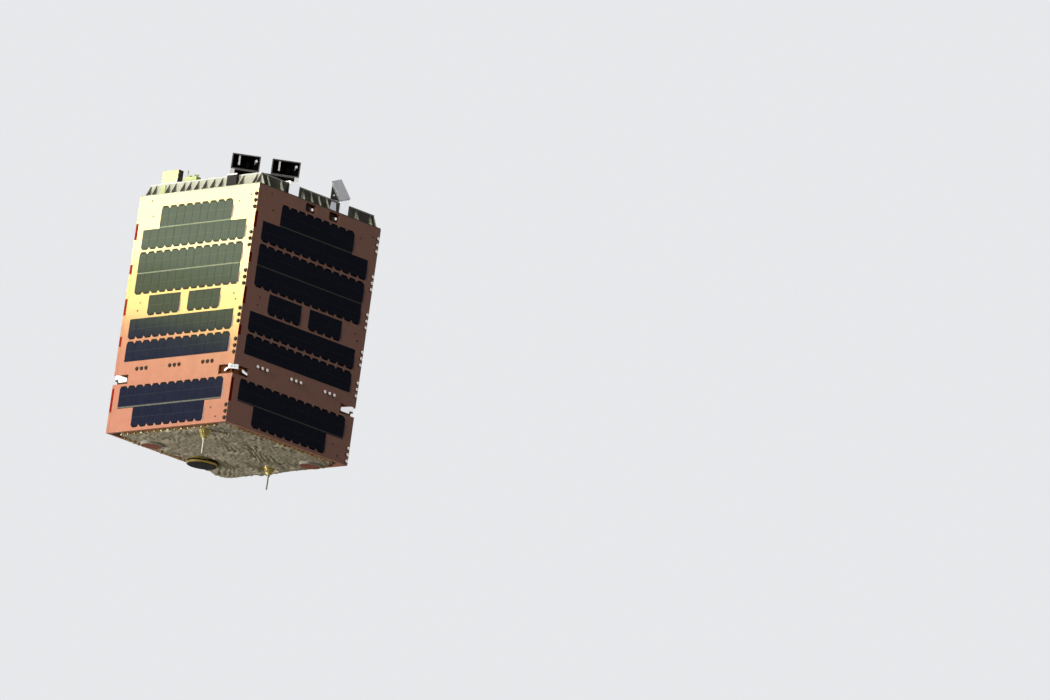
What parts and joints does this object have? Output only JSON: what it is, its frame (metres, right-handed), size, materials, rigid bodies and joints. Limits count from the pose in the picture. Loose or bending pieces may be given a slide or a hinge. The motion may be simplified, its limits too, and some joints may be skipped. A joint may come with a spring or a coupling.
{
  "type": "small satellite",
  "caption": "Box-shaped small satellite with body-mounted solar panels, a ribbed top tray with a separation ring, star camera hoods, and antennas on a foil-covered lower deck.",
  "frame": {"origin": "centre of the separation plane, the top face of the separation ring, on the body's axis", "axes": "+Z out of the ring along the body's axis, up as in the picture; the front panel faces -Y and the panel with the two sensor openings faces +X"},
  "size_m": [0.6294, 0.6294, 1.1102],
  "materials": {
    "panel_skin": "copper-coloured satin",
    "solar_cell": "dark blue cover glass",
    "red_strip": "matt red",
    "bare_metal": "clear chromate",
    "white_metal": "white paint",
    "tray_metal": "pale grey paint",
    "dark_metal": "dark grey paint",
    "black_metal": "matt black",
    "lens_metal": "dark anodised",
    "grey_box": "anodised housing",
    "foil": "crinkled grey-gold foil",
    "gold_foil": "gold foil",
    "gold_metal": "gold plated",
    "antenna_cover": "cream cover",
    "antenna_plate": "grey cover",
    "antenna_face": "dark cover",
    "patch_white": "white cover",
    "copper_face": "copper-brown cover"
  },
  "bodies": {
    "root": {"antenna_bases": "gold_foil", "avionics_stack": "grey_box", "bottom_deck": "bare_metal", "box_antenna": "antenna_cover", "box_antenna_foot": "white_metal", "cells_back": "solar_cell", "cells_front": "solar_cell", "cells_left": "solar_cell", "cells_right": "solar_cell", "connector_block": "antenna_cover", "corner_fitting_back_left": "white_metal", "corner_fitting_back_right": "white_metal", "corner_fitting_front_left": "white_metal", "corner_fitting_front_right": "white_metal", "corner_post_back_left": "bare_metal", "corner_post_back_right": "bare_metal", "corner_post_front_left": "bare_metal", "corner_post_front_right": "bare_metal", "deck_clips": "bare_metal", "drum_body": "gold_metal", "drum_face": "antenna_face", "end_strips_back": "red_strip", "end_strips_front": "red_strip", "end_strips_left": "red_strip", "end_strips_right": "red_strip", "foil_blanket": "foil", "panel_back": "panel_skin", "panel_front": "panel_skin", "panel_left": "panel_skin", "panel_right": "panel_skin", "patch_faces": "copper_face", "patch_pucks": "patch_white", "separation_ring": "bare_metal", "shelf": "bare_metal", "star_beam": "white_metal", "star_cameras": "lens_metal", "star_fittings": "white_metal", "star_hood_a": "black_metal", "star_hood_b": "black_metal", "star_leg_front": "dark_metal", "star_leg_right": "white_metal", "sun_sensors": "lens_metal", "tilt_antenna": "antenna_plate", "tilt_bracket": "white_metal", "top_tray": "tray_metal", "whip_rods": "white_metal"}
  },
  "joints": []
}
